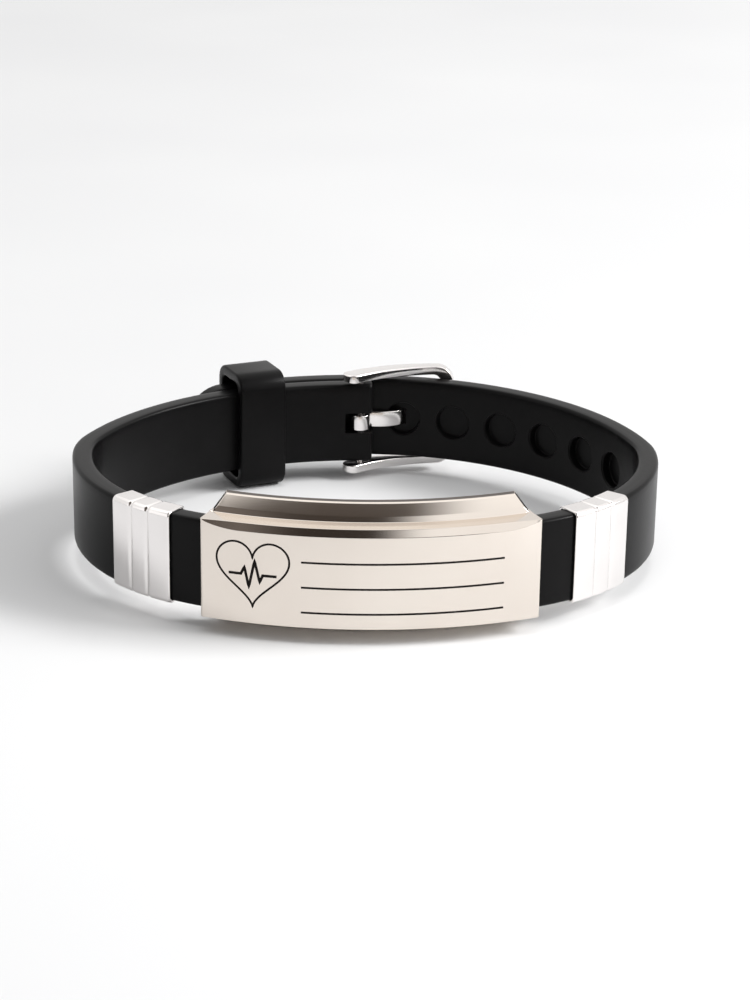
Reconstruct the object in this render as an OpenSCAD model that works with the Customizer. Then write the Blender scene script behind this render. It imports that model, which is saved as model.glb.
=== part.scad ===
// Medical alert bracelet, closed and standing on its side, in millimetres.
// A silicone strap runs through a curved steel identification plate and two steel sliders.
// Behind, the holed end laps over the short end, through a pin buckle and a keeper loop.
// The plan is an oval of tangent arcs. X runs along the plate, Y away from it and Z up.

/* [Strap] */
// Width of the silicone strap, which stands on its edge
strap_w = 12; // [10:0.5:16]
// Thickness of the strap
strap_t = 2.8; // [2.2:0.1:3.4]
// Rounding of the strap's long edges
strap_edge_r = 0.5; // [0.2:0.1:0.9]

/* [Loop] */
// Width of the loop between the strap's centre lines
loop_w = 77.8; // [74:0.2:90]
// Depth of the loop, from the strap's centre line in front to the short end's centre line behind
loop_d = 62.6; // [60:0.2:70]
// Bend radius of the strap at both back corners
corner_r = 15; // [10:0.5:20]
// Gap between the two layers where the ends lap
lap_gap = 0.25; // [0.1:0.05:0.5]

/* [Adjusting holes] */
// Diameter of an adjusting hole
hole_d = 5; // [4.6:0.1:5.4]
// Distance between neighbouring holes along the strap
hole_pitch = 8; // [7.4:0.1:8.4]
// Holes from the tongue's own hole back towards the plate
holes_behind = 6; // [3:1:6]
// Holes past the tongue, on the free end
holes_past = 2; // [0:1:2]
// Distance of the tongue's hole from the spring bar, which is in the middle of the back
tongue_hole_s = 6.7; // [6.2:0.1:7.4]
// Thickness of the web left in the middle of each hole
web_t = 0.4; // [0.3:0.1:1]

/* [Identification plate] */
// Length of the plate's front face, measured straight across
plate_l = 43.8; // [38:0.2:48]
// Radius of the plate's curved front face
plate_r = 56; // [50:1:80]
// Thickness of the front wall
plate_face_t = 1.1; // [0.8:0.1:1.6]
// Thickness of the wall behind the strap
plate_back_t = 0.6; // [0.4:0.1:1]
// Thickness of the walls above and below the strap
plate_edge_t = 0.5; // [0.4:0.05:0.8]
// Play between the strap and the channel
plate_play = 0.2; // [0.1:0.05:0.4]
// Height of the sloping band along the face's upper edge
bevel_h = 0.95; // [0.4:0.05:1.4]
// Depth of the sloping band
bevel_d = 0.5; // [0.2:0.05:0.8]
// Depth of the flat ledge between the sloping band and the lip
ledge_d = 2.6; // [2:0.1:3]
// Rise and run of the flared lip
lip_rise = 2.2; // [1.6:0.1:3]
// Sheet thickness of the flared lip
lip_t = 0.6; // [0.4:0.05:0.9]
// Distance of the lip's foot from the end of the plate
lip_inset = 0.5; // [0.2:0.1:2]
// Slant of the lip's ends over its rise
lip_slant = 1.7; // [0.5:0.1:3]

/* [Sliders] */
// Length of a slider along the strap
slider_l = 9.6; // [7:0.2:12]
// Sheet thickness of a slider
slider_wall = 0.3; // [0.25:0.05:0.6]
// Play between a slider and the strap's faces
slider_play = 0.2; // [0.1:0.05:0.3]
// Play between a slider and the strap's edges
slider_edge_play = 0.05; // [0.05:0.05:0.3]
// Corner radius of a slider's section
slider_corner_r = 0.8; // [0.4:0.1:1.2]
// Width of each of the two grooves round a slider
groove_w = 0.45; // [0.3:0.05:0.8]
// Depth of the grooves
groove_d = 0.15; // [0.05:0.05:0.2]
// Length of the middle panel between the grooves
slider_mid_l = 2.3; // [1.5:0.1:3.5]
// Bare strap between the plate and the left slider
left_slider_gap = 4.6; // [2:0.2:8]
// Bare strap between the plate and the right slider
right_slider_gap = 5.3; // [2:0.1:8]

/* [Keeper loop] */
// Length of the keeper along the strap
keeper_l = 7.1; // [5:0.1:9]
// Wall of the keeper
keeper_wall = 1.5; // [1:0.1:2]
// Play between the keeper and the faces of the lapped strap
keeper_play = 0.25; // [0.2:0.05:0.5]
// Play between the keeper and the edges of the strap
keeper_edge_play = 1.3; // [0.5:0.1:1.6]
// Outer corner radius of the keeper's section
keeper_corner_r = 2.4; // [1.6:0.1:3]
// Distance of the keeper from the middle of the back
keeper_s = 16; // [13:0.5:19]
// Straight stretch of the free end past the keeper, before its round tip
tail_past = 0.5; // [0:0.1:4]

/* [Buckle] */
// Radius of the spring bar through the short end
pin_r = 0.65; // [0.5:0.05:0.75]
// Play between the spring bar and what it passes through
pin_play = 0.08; // [0.05:0.01:0.15]
// Strap left past the spring bar at the short end
end_past_pin = 1.8; // [1.6:0.1:2.6]
// Thickness of the buckle's arms, above and below the strap
arm_h = 1.3; // [1:0.1:2]
// Play between the arms and the edges of the strap
arm_play = 0.4; // [0.2:0.05:0.8]
// Depth of an arm where the spring bar passes
lug_t = 3; // [2.6:0.1:3.6]
// Length of the arm past the spring bar
lug_past = 2.7; // [1.6:0.1:3.2]
// Depth of the cross bar
bar_t = 1.8; // [1.4:0.1:2.4]
// Width of the cross bar
bar_w = 2; // [1.6:0.1:2.6]
// Distance from the tongue's hole to the cross bar
bar_past_hole = 6.5; // [6:0.1:7.5]
// Play between the cross bar's near edge and the strap's outer face
bar_play = 0.25; // [0.2:0.05:0.5]
// Bend radius of the bowed frame
bow_r = 22; // [18:1:40]
// Outer corner radius of the frame
frame_corner_r = 2.6; // [2:0.1:3]
// Thickness of the tongue
tongue_t = 0.8; // [0.6:0.05:0.9]
// Width of the tongue
tongue_w = 2.4; // [1.8:0.1:2.6]
// Slope at which the tongue climbs through the hole, in degrees
tongue_slope = 47; // [46:1:58]
// Play between the tongue and the slot, strap and cross bar
tongue_play = 0.12; // [0.08:0.02:0.2]
// Length of the tongue past the cross bar
tongue_past = 0.9; // [0.4:0.1:1.4]

/* [Hidden] */
$fn = 128;
rubber = [0.11, 0.11, 0.12];
steel = [0.86, 0.83, 0.8];
silver = [0.9, 0.89, 0.88];
per_rad = 180 / PI;

// How far a cutter runs past the faces that it cuts
over = 1;

// Steps round a quarter of a small corner and of a large one
edge_steps = 2;
corner_steps = 5;

// Half sizes of the strap
half_w = strap_w / 2;
half_t = strap_t / 2;

// Plate section, measured outward from the strap's centre line and up from its middle
face_out = half_t + plate_play + plate_face_t;
face_top = half_w + plate_play + plate_edge_t;
back_out = -(half_t + plate_play + plate_back_t);
ledge_back = face_out - bevel_d - ledge_d;
lip_top = face_top + lip_rise;
lip_back = ledge_back - lip_rise;

// Plan of the loop. The strap's centre line passes the origin in front.
front_r = plate_r - face_out;
front_a = asin(plate_l / 2 / plate_r);
loop_half = loop_w / 2;
shoulder_r = (loop_half - front_r * sin(front_a)) / (1 - sin(front_a));
side_y = front_r * (1 - cos(front_a)) + shoulder_r * cos(front_a);
lap = strap_t + lap_gap;

// Radius of the back arc that closes a half of the loop at depth d
function back_r(d) =
    (pow(loop_half - corner_r, 2) + pow(d - side_y, 2) - pow(corner_r, 2)) / (2 * (d - side_y - corner_r));

inner_r = back_r(loop_d);
outer_r = back_r(loop_d + lap);
tail_r = inner_r + lap;
inner_c = [0, loop_d - inner_r];
outer_c = [0, loop_d + lap - outer_r];

// Angle at which a corner arc meets the back arc round centre c
function corner_a(c) = atan2(side_y - c[1], loop_half - corner_r);

// Adjusting hole at distance s from the middle of the back: centre, radius and angle of its arc
function hole_row(s) =
    let (back_len = outer_r * (90 - corner_a(outer_c)) / per_rad)
    s < 0 ? [inner_c, tail_r, 90 - s / tail_r * per_rad]
    : s <= back_len ? [outer_c, outer_r, 90 - s / outer_r * per_rad]
    : [[loop_half - corner_r, side_y], corner_r, corner_a(outer_c) - (s - back_len) / corner_r * per_rad];

// Point of a hole_row, moved outward by out
function row_point(row, out) = row[0] + (row[1] + out) * [cos(row[2]), sin(row[2])];

// Plain plane geometry
function unit(v) = v / norm(v);
function left_of(v) = [-v[1], v[0]];
function dot(a, b) = a[0] * b[0] + a[1] * b[1];
function cross_of(a, b) = a[0] * b[1] - a[1] * b[0];

// Where the line through p along u meets the line through q along v
function meeting(p, u, q, v) = p + u * cross_of(q - p, v) / cross_of(u, v);

// Outline of a rectangle w by h round the origin, with corners of radius r
function round_rect(w, h, r, steps = edge_steps) = [
    for (quarter = [0 : 3], step = [0 : steps])
        let (a = 90 * quarter + 90 * step / steps,
             sx = quarter == 0 || quarter == 3 ? 1 : -1,
             sy = quarter < 2 ? 1 : -1)
        [sx * (w / 2 - r) + r * cos(a), sy * (h / 2 - r) + r * sin(a)]
];

// Outline of a strip along points, with half thickness halves[i] at point i
function strip(points, halves) =
    let (last = len(points) - 1,
         sides = [for (i = [0 : last])
             let (before = unit(points[max(i, 1)] - points[max(i, 1) - 1]),
                  after = unit(points[min(i, last - 1) + 1] - points[min(i, last - 1)]),
                  along = unit(before + after))
             left_of(along) * halves[i] / dot(along, after)])
    concat([for (i = [0 : last]) points[i] + sides[i]],
           [for (i = [last : -1 : 0]) points[i] - sides[i]]);

// The two ends
pin_c = [0, loop_d];
end_a = 90 - end_past_pin / inner_r * per_rad;
keeper_a = keeper_s / inner_r * per_rad;
tip_start_a = keeper_a + (keeper_l / 2 + tail_past) / tail_r * per_rad;

// Arcs of the strap from its short end round to its free end: centre, radius, first and last angle
arc_rows = [
    [inner_c, inner_r, end_a, 180 - corner_a(inner_c)],
    [[corner_r - loop_half, side_y], corner_r, 180 - corner_a(inner_c), 180],
    [[shoulder_r - loop_half, side_y], shoulder_r, 180, 270 - front_a],
    [[0, front_r], front_r, 270 - front_a, 270 + front_a],
    [[loop_half - shoulder_r, side_y], shoulder_r, 270 + front_a, 360],
    [[loop_half - corner_r, side_y], corner_r, 360, 360 + corner_a(outer_c)],
    [outer_c, outer_r, 360 + corner_a(outer_c), 450],
    [inner_c, tail_r, 450, 450 + tip_start_a]
];

// Greatest turn between two sections, and the round tip's sections and the last one's angle
section_step_a = 4;
tip_steps = 8;
tip_last_a = 84;

// Sections of the strap along those arcs and on to the round tip: centre, facing angle, half width
strap_sections = concat(
    [[inner_c + inner_r * [cos(end_a), sin(end_a)], end_a, half_w]],
    [for (row = arc_rows)
        let (steps = ceil((row[3] - row[2]) / section_step_a))
        for (i = [1 : steps])
            let (a = row[2] + (row[3] - row[2]) * i / steps)
            [row[0] + row[1] * [cos(a), sin(a)], a, half_w]],
    [for (i = [1 : tip_steps])
        let (u = tip_last_a * i / tip_steps,
             a = 450 + tip_start_a + half_w * sin(u) / tail_r * per_rad)
        [inner_c + tail_r * [cos(a), sin(a)], a, half_w * cos(u)]]
);

// Buckle frame in plan. It bows from the spring bar out to the cross bar.
pin_in_arm = 0.8;
window_half = half_w + arm_play;
frame_half = window_half + arm_h;
pin_half = window_half + pin_in_arm * arm_h;
bar_x = row_point(hole_row(tongue_hole_s), 0)[0] + bar_past_hole;
bar_y = outer_c[1] + sqrt(pow(outer_r + half_t, 2) - pow(bar_x - bar_w / 2, 2)) + bar_play + bar_t / 2;
bar_c = [bar_x, bar_y];
bow_steps = 10;
bow_half_a = asin(norm(bar_c - pin_c) / 2 / bow_r);
bow_mid_a = 90 + atan2(bar_c[1] - pin_c[1], bar_c[0] - pin_c[0]);
bow_c = (pin_c + bar_c) / 2 - bow_r * cos(bow_half_a) * [cos(bow_mid_a), sin(bow_mid_a)];
bow_from_a = bow_mid_a + bow_half_a + lug_past / bow_r * per_rad;
bow_to_a = bow_mid_a - bow_half_a - bar_w / 2 / bow_r * per_rad;

// Tongue, in plan: from the spring bar to the near edge of its hole, up through the hole, and out over
// the cross bar
curl_r = pin_r + pin_play + tongue_t;
root = [pin_c[0], pin_c[1] + curl_r - tongue_play / 2 - tongue_t / 2];
near_edge = row_point(hole_row(tongue_hole_s - hole_d / 2), -half_t - tongue_play - tongue_t / 2);
climb = [cos(tongue_slope), sin(tongue_slope)];
hole_mid = row_point(hole_row(tongue_hole_s), 0);
foot = meeting(root, near_edge - root, hole_mid, climb);
crest_y = bow_c[1] + bow_r + bar_t / 2 + tongue_play + tongue_t / 2;
crest = hole_mid + climb * (crest_y - hole_mid[1]) / climb[1];
tongue_tip = [bar_x + bar_w / 2 + tongue_past, crest_y];

// Place of the whole, with its origin under the middle of its box
plate_h = 2 * lip_top;
keeper_h = strap_w + 2 * (keeper_edge_play + keeper_wall);
keeper_t = lap + strap_t + 2 * (keeper_play + keeper_wall);
strap_z = max(plate_h, keeper_h, 2 * frame_half) / 2;
y_front = -face_out;
y_behind = crest_y + tongue_t / 2;
place = [0, -(y_front + y_behind) / 2, strap_z];

// The bare band, swept through strap_sections
module band() {
    outline = [for (section = strap_sections)
        round_rect(strap_t, 2 * section[2], min(strap_edge_r, section[2] / 2))];
    count = len(outline[0]);
    last = len(strap_sections) - 1;
    points = [for (i = [0 : last], p = outline[i])
        let (c = strap_sections[i][0], a = strap_sections[i][1])
        [c[0] + p[0] * cos(a), c[1] + p[0] * sin(a), p[1]]];
    sides = [for (i = [0 : last - 1], k = [0 : count - 1])
        let (next = (k + 1) % count)
        [i * count + k, i * count + next, (i + 1) * count + next, (i + 1) * count + k]];
    polyhedron(points, concat(
        [[for (k = [count - 1 : -1 : 0]) k]],
        sides,
        [[for (k = [0 : count - 1]) last * count + k]]
    ));
}

// Round cutter into the holed layer, s from the middle of the back, between two distances outward
// from its centre line
module hole_cutter(s, from_out, to_out) {
    row = hole_row(s);
    translate([row[0][0], row[0][1], 0])
        rotate([0, 0, row[2]])
            translate([row[1] + from_out, 0, 0])
                rotate([0, 90, 0])
                    cylinder(h = to_out - from_out, d = hole_d);
}

// Recesses from both faces, with a web between, which the tongue pierces in its own hole
module adjusting_holes() {
    reach = climb * (tongue_t + web_t);
    slot_half = tongue_t / 2 + tongue_play;
    for (k = [-holes_past : holes_behind - 1]) {
        hole_cutter(tongue_hole_s + k * hole_pitch, -strap_t, -web_t / 2);
        hole_cutter(tongue_hole_s + k * hole_pitch, web_t / 2, strap_t);
    }
    linear_extrude(height = tongue_w + 2 * tongue_play, center = true)
        polygon(strip([hole_mid - reach, hole_mid + reach], [slot_half, slot_half]));
}

// The strap with its holes, the bore of the spring bar and the slot that the tongue swings in
module strap() {
    slot_play = 3 * tongue_play;
    slot_from = pin_c[0] - curl_r - 2 * slot_play;
    slot_l = end_past_pin + curl_r + 2 * slot_play + over;
    color(rubber)
        translate(place)
            difference() {
                band();
                adjusting_holes();
                translate([pin_c[0], pin_c[1], 0])
                    cylinder(h = 2 * strap_w, r = pin_r + pin_play, center = true);
                translate([slot_from, pin_c[1] - strap_t, -tongue_w / 2 - slot_play])
                    cube([slot_l, strap_t + half_t + lap_gap / 2, tongue_w + 2 * slot_play]);
            }
}

// A sector of the plate's arc, swept from outline points [outward, up]
module plate_sector(outline, half_a) {
    translate([0, front_r, 0])
        rotate([0, 0, -90 - half_a])
            rotate_extrude(angle = 2 * half_a)
                translate([front_r, 0])
                    polygon(outline);
}

// Prism through the plate from outline points [along, up] as seen from the front
module front_prism(outline) {
    rotate([90, 0, 0])
        linear_extrude(height = plate_r, center = true)
            polygon(outline);
}

// Cuts the upper lip's ends at a slant. The lip's foot, foot_left high, runs on to the plate's ends.
module lip_end_cuts() {
    foot_left = 0.05;
    foot_top = face_top + foot_left;
    foot_half = (front_r + ledge_back) * sin(front_a) - lip_inset;
    head_half = foot_half - lip_slant * (1 + over / lip_rise);
    beyond = plate_l;
    for (side = [0, 1])
        mirror([side, 0, 0])
            front_prism([
                [foot_half, foot_top], [beyond, foot_top],
                [beyond, lip_top + over], [head_half, lip_top + over]
            ]);
}

// Cuts the sloping band along the face's upper edge
module bevel_cut() {
    intersection() {
        plate_sector([
            [face_out - bevel_d, face_top], [face_out, face_top - bevel_h],
            [face_out + over, face_top - bevel_h], [face_out + over, face_top + over],
            [face_out - bevel_d, face_top + over]
        ], front_a + over);
        front_prism([
            [plate_l / 2 - bevel_h, face_top - bevel_h], [plate_l / 2 + over, face_top + over],
            [-plate_l / 2 - over, face_top + over], [bevel_h - plate_l / 2, face_top - bevel_h]
        ]);
    }
}

// One curved channel that the strap runs through, with a flared lip along both long edges
module id_plate() {
    lip_w = lip_t * sqrt(2);
    upper = [
        [face_out, face_top], [ledge_back, face_top], [lip_back, lip_top], [lip_back - lip_w, lip_top],
        [ledge_back - lip_w, face_top], [back_out, face_top]
    ];
    lower = [for (i = [len(upper) - 1 : -1 : 0]) [upper[i][0], -upper[i][1]]];
    slot_out = half_t + plate_play;
    slot_up = half_w + plate_play;
    color(steel)
        translate(place)
            difference() {
                plate_sector(concat(upper, lower), front_a);
                bevel_cut();
                lip_end_cuts();
                mirror([0, 0, 1])
                    lip_end_cuts();
                plate_sector([
                    [-slot_out, -slot_up], [slot_out, -slot_up], [slot_out, slot_up], [-slot_out, slot_up]
                ], front_a + over);
            }
}

// Sector of a slider's sleeve between two distances past the plate's end, its outside cut back by cut
module sleeve(from_s, to_s, cut) {
    skin = slider_wall - cut;
    inner_t = strap_t + 2 * slider_play;
    inner_h = strap_w + 2 * slider_edge_play;
    from_a = -90 + front_a + from_s / shoulder_r * per_rad;
    translate([loop_half - shoulder_r, side_y, 0])
        rotate([0, 0, from_a])
            rotate_extrude(angle = (to_s - from_s) / shoulder_r * per_rad)
                translate([shoulder_r, 0])
                    difference() {
                        polygon(round_rect(inner_t + 2 * skin, inner_h + 2 * skin, slider_corner_r));
                        polygon(round_rect(inner_t, inner_h, slider_corner_r - slider_wall));
                    }
}

// Slider on the right half: three raised panels over a sleeve that shows in the grooves
module slider(gap) {
    side_l = (slider_l - slider_mid_l) / 2 - groove_w;
    mid_from = gap + side_l + groove_w;
    sleeve(gap, gap + slider_l, groove_d);
    sleeve(gap, gap + side_l, 0);
    sleeve(mid_from, mid_from + slider_mid_l, 0);
    sleeve(gap + slider_l - side_l, gap + slider_l, 0);
}

module left_slider() {
    color(silver)
        translate(place)
            mirror([1, 0, 0])
                slider(left_slider_gap);
}

module right_slider() {
    color(silver)
        translate(place)
            slider(right_slider_gap);
}

// Square-on sleeve round both layers of the strap
module keeper_loop() {
    clear_t = keeper_t - 2 * keeper_wall;
    clear_h = keeper_h - 2 * keeper_wall;
    color(rubber)
        translate(place)
            translate([inner_c[0], inner_c[1], 0])
                rotate([0, 0, 90 + keeper_a])
                    translate([inner_r + lap / 2, 0, 0])
                        rotate([90, 0, 0])
                            linear_extrude(height = keeper_l, center = true)
                                difference() {
                                    polygon(round_rect(keeper_t, keeper_h, keeper_corner_r, corner_steps));
                                    polygon(round_rect(clear_t, clear_h, keeper_corner_r / 2));
                                }
}

// Bowed outline of the buckle frame in plan, thick at the lugs and thinner at the cross bar
module frame_plan() {
    angles = [for (i = [0 : bow_steps]) bow_from_a + (bow_to_a - bow_from_a) * i / bow_steps];
    points = [for (a = angles) bow_c + bow_r * [cos(a), sin(a)]];
    halves = [for (i = [0 : bow_steps]) (lug_t + (bar_t - lug_t) * i / bow_steps) / 2];
    polygon(strip(points, halves));
}

// Round-cornered frame, cut out of the bowed outline and bored for the spring bar
module buckle_frame() {
    window_r = frame_corner_r - arm_h;
    left_x = pin_c[0] - 3 * lug_t;
    right_x = bar_x + bar_w / 2;
    color(silver)
        translate(place)
            difference() {
                intersection() {
                    linear_extrude(height = 2 * frame_half, center = true)
                        frame_plan();
                    translate([0, loop_d, 0])
                        rotate([90, 0, 0])
                            linear_extrude(height = loop_d, center = true)
                                translate([(left_x + right_x) / 2, 0])
                                    difference() {
                                        polygon(round_rect(right_x - left_x, 2 * frame_half, frame_corner_r,
                                                           corner_steps));
                                        translate([-bar_w, 0])
                                            polygon(round_rect(right_x - left_x, 2 * window_half, window_r,
                                                               corner_steps));
                                    }
                }
                translate([pin_c[0], pin_c[1], 0])
                    cylinder(h = 3 * frame_half, r = pin_r + pin_play, center = true);
            }
}

module buckle_pin() {
    color(silver)
        translate(place)
            translate([pin_c[0], pin_c[1], 0])
                cylinder(h = 2 * pin_half, r = pin_r, center = true);
}

// Flat tongue curled round the spring bar
module buckle_tongue() {
    color(silver)
        translate(place)
            difference() {
                union() {
                    translate([pin_c[0], pin_c[1], 0])
                        cylinder(h = tongue_w, r = curl_r, center = true);
                    linear_extrude(height = tongue_w, center = true)
                        polygon(strip([root, foot, crest, tongue_tip], [for (i = [0 : 3]) tongue_t / 2]));
                }
                translate([pin_c[0], pin_c[1], 0])
                    cylinder(h = 2 * tongue_w, r = pin_r + pin_play, center = true);
            }
}

strap();
id_plate();
left_slider();
right_slider();
keeper_loop();
buckle_frame();
buckle_pin();
buckle_tongue();
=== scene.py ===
"""Looks of the medical alert bracelet: its pieces, finishes, light and camera."""

import logging
import math
from collections.abc import Iterable
from dataclasses import dataclass, field
from enum import Enum

import bmesh
import bpy
from mathutils import Matrix, Vector


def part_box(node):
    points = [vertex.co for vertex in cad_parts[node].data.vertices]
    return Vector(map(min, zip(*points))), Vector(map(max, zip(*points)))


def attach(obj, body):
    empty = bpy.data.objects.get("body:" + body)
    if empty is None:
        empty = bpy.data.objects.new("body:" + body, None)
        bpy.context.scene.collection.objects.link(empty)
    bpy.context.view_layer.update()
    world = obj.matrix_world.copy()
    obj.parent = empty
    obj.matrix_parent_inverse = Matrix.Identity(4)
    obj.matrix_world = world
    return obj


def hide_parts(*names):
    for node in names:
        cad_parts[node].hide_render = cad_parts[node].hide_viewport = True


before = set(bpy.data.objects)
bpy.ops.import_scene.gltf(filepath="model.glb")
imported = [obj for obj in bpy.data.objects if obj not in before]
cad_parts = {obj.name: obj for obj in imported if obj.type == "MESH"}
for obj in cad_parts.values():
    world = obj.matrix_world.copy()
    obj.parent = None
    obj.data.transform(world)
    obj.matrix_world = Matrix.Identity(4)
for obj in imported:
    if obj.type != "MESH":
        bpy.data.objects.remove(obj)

MM = 0.001
QUARTER = math.pi / 2
WELD = 0.0025 * MM
SHARP_DEG = 35.0
BODY = "root"
Span = tuple[float, float]
Plan = tuple[float, float]
Place = tuple[float, float, float]
Colour = tuple[float, float, float]
Stops = tuple[tuple[float, Colour], ...]
Ring = list[Vector]
Mesh = bmesh.types.BMesh
Socket = bpy.types.NodeSocket
Node = bpy.types.Node
Material = bpy.types.Material
Piece = bpy.types.Object
log = logging.getLogger("bracelet")


class Slot(Enum):
    """Material slots of the record."""

    SILICONE = "silicone"
    PLATE = "plate_steel"
    BRIGHT = "bright_steel"


class Side(Enum):
    """Sides of the plate, seen from the front."""

    LEFT = "left"
    RIGHT = "right"


class NodeSheet:
    """A node tree that is written one node after another."""

    def __init__(self, tree: bpy.types.NodeTree) -> None:
        """Start on an empty tree."""
        self.tree = tree
        tree.nodes.clear()

    def add(self, kind: str, inputs: dict[str | int, object] | None = None, **settings: object) -> Node:
        """Add a node, set its properties, and fill or link its inputs.

        Args:
            kind: Blender's name of the node's type.
            inputs: Value or output socket for each input, by name or number.
            **settings: Properties of the node.

        Returns:
            The new node.
        """
        node = self.tree.nodes.new(kind)
        for name, value in settings.items():
            setattr(node, name, value)
        for name, value in (inputs or {}).items():
            if isinstance(value, Socket):
                self.tree.links.new(value, node.inputs[name])
            else:
                node.inputs[name].default_value = value
        return node

    def noise(self, place: Socket, scale: float, detail: float) -> Socket:
        """Add a noise and return its value."""
        inputs = {"Vector": place, "Scale": scale, "Detail": detail}
        return self.add("ShaderNodeTexNoise", inputs).outputs["Fac"]

    def bump(self, height: Socket, depth: float, strength: float) -> Socket:
        """Add a bump and return its normal."""
        inputs = {"Strength": strength, "Distance": depth, "Height": height}
        return self.add("ShaderNodeBump", inputs).outputs["Normal"]

    def ramp(self, factor: Socket, stops: Stops) -> Socket:
        """Add a colour ramp.

        Args:
            factor: Socket that drives the ramp.
            stops: Position and colour of each stop, from 0 to 1.

        Returns:
            The ramp's colour socket.
        """
        node = self.add("ShaderNodeValToRGB", {"Fac": factor})
        elements = node.color_ramp.elements
        while len(elements) < len(stops):
            elements.new(1.0)
        for element, (position, colour) in zip(elements, stops):
            element.position = position
            element.color = (*colour, 1.0)
        return node.outputs["Color"]

    def two_tone(self, factor: Socket, at: Span, dark: Colour, light: Colour) -> Socket:
        """Add a ramp from a dark colour to a light one, at two positions, and return its colour."""
        return self.ramp(factor, tuple(zip(at, (dark, light))))

    def between(self, factor: Socket, low: float, high: float) -> Socket:
        """Add a map range from 0..1 to low..high and return its result."""
        inputs = {"Value": factor, "To Min": low, "To Max": high}
        return self.add("ShaderNodeMapRange", inputs).outputs["Result"]

    def fade(self, value: Socket, start: float, end: float) -> Socket:
        """Add a smooth rise.

        Args:
            value: Socket that drives it.
            start: Value at which the result is still 0.
            end: Value at which it is 1, above or below the start.

        Returns:
            The result's socket.
        """
        rising = start < end
        node = self.add("ShaderNodeMapRange", {
            "Value": value, "From Min": min(start, end), "From Max": max(start, end),
            "To Min": 0.0 if rising else 1.0, "To Max": 1.0 if rising else 0.0,
        }, interpolation_type="SMOOTHSTEP")
        return node.outputs["Result"]

    def times(self, first: Socket, second: Socket) -> Socket:
        """Multiply two sockets."""
        return self.add("ShaderNodeMath", {0: first, 1: second}, operation="MULTIPLY").outputs["Value"]

    def largest(self, first: Socket, second: Socket) -> Socket:
        """Take the larger of two sockets."""
        return self.add("ShaderNodeMath", {0: first, 1: second}, operation="MAXIMUM").outputs["Value"]

    def mix(self, factor: Socket, first: Colour | Socket, second: Colour | Socket) -> Socket:
        """Mix two colours.

        Args:
            factor: 0 gives the first and 1 the second.
            first: Colour or socket.
            second: Colour or socket.

        Returns:
            The mixed colour's socket.
        """
        sides = [side if isinstance(side, Socket) else (*side, 1.0) for side in (first, second)]
        node = self.add("ShaderNodeMixRGB", {"Fac": factor, "Color1": sides[0], "Color2": sides[1]})
        return node.outputs["Color"]

    def blend(self, factor: Socket, first: Node, second: Node) -> Node:
        """Mix two shader nodes by a factor and return the mixing node."""
        return self.add("ShaderNodeMixShader", {"Fac": factor, 1: first.outputs[0], 2: second.outputs[0]})


class Finish:
    """A finish that is worked out from places on its piece."""

    name: str

    def surface(self, sheet: NodeSheet, place: Socket) -> Node:
        """Write the finish's shader on a sheet, from the socket of the place, and return it."""
        raise NotImplementedError

    def material(self) -> Material:
        """Write the material.

        Returns:
            The material.
        """
        material = bpy.data.materials.new(self.name)
        material.use_nodes = True
        sheet = NodeSheet(material.node_tree)
        shader = self.surface(sheet, sheet.add("ShaderNodeTexCoord").outputs["Object"])
        sheet.add("ShaderNodeOutputMaterial", {"Surface": shader.outputs["BSDF"]})
        return material


@dataclass(frozen=True)
class SatinSilicone(Finish):
    """Black silicone rubber with a fine moulded grain."""

    name: str = "satin_silicone"
    deep: Colour = (0.0038, 0.0036, 0.0038)
    pale: Colour = (0.006, 0.0058, 0.006)
    cloud_stops: Span = (0.35, 0.7)
    cloud_per_m: float = 120.0
    cloud_detail: float = 4.0
    grain_per_m: float = 3200.0
    grain_detail: float = 3.0
    grain_depth: float = 0.012 * MM
    grain_strength: float = 0.6
    rough: Span = (0.25, 0.36)
    gloss: float = 0.09

    def surface(self, sheet: NodeSheet, place: Socket) -> Node:
        """Write the rubber.

        Args:
            sheet: The material's sheet.
            place: Socket of the place on the piece.

        Returns:
            The shader.
        """
        cloud = sheet.noise(place, self.cloud_per_m, self.cloud_detail)
        grain = sheet.noise(place, self.grain_per_m, self.grain_detail)
        return sheet.add("ShaderNodeBsdfPrincipled", {
            "Base Color": sheet.two_tone(cloud, self.cloud_stops, self.deep, self.pale),
            "Roughness": sheet.between(cloud, *self.rough),
            "Specular IOR Level": self.gloss,
            "Normal": sheet.bump(grain, self.grain_depth, self.grain_strength),
        })


@dataclass(frozen=True)
class PolishedSteel(Finish):
    """Polished steel with faint lines along one direction and slight clouds in its polish."""

    name: str
    tint: Colour
    shade: Colour
    rough: Span
    line_depth: float = 0.0012 * MM
    line_strength: float = 0.5
    lines_per_m: tuple[float, float, float] = (60.0, 4000.0, 9000.0)
    line_detail: float = 2.0
    cloud_per_m: float = 90.0
    cloud_detail: float = 3.0
    cloud_stops: Span = (0.3, 0.7)

    def surface(self, sheet: NodeSheet, place: Socket) -> Node:
        """Write the steel.

        Args:
            sheet: The material's sheet.
            place: Socket of the place on the piece.

        Returns:
            The shader.
        """
        drawn = sheet.add("ShaderNodeMapping", {"Vector": place, "Scale": self.lines_per_m})
        lines = sheet.noise(drawn.outputs["Vector"], 1.0, self.line_detail)
        cloud = sheet.noise(place, self.cloud_per_m, self.cloud_detail)
        return sheet.add("ShaderNodeBsdfPrincipled", {
            "Base Color": sheet.two_tone(cloud, self.cloud_stops, self.shade, self.tint),
            "Metallic": 1.0,
            "Roughness": sheet.between(cloud, *self.rough),
            "Normal": sheet.bump(lines, self.line_depth, self.line_strength),
        })


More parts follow.
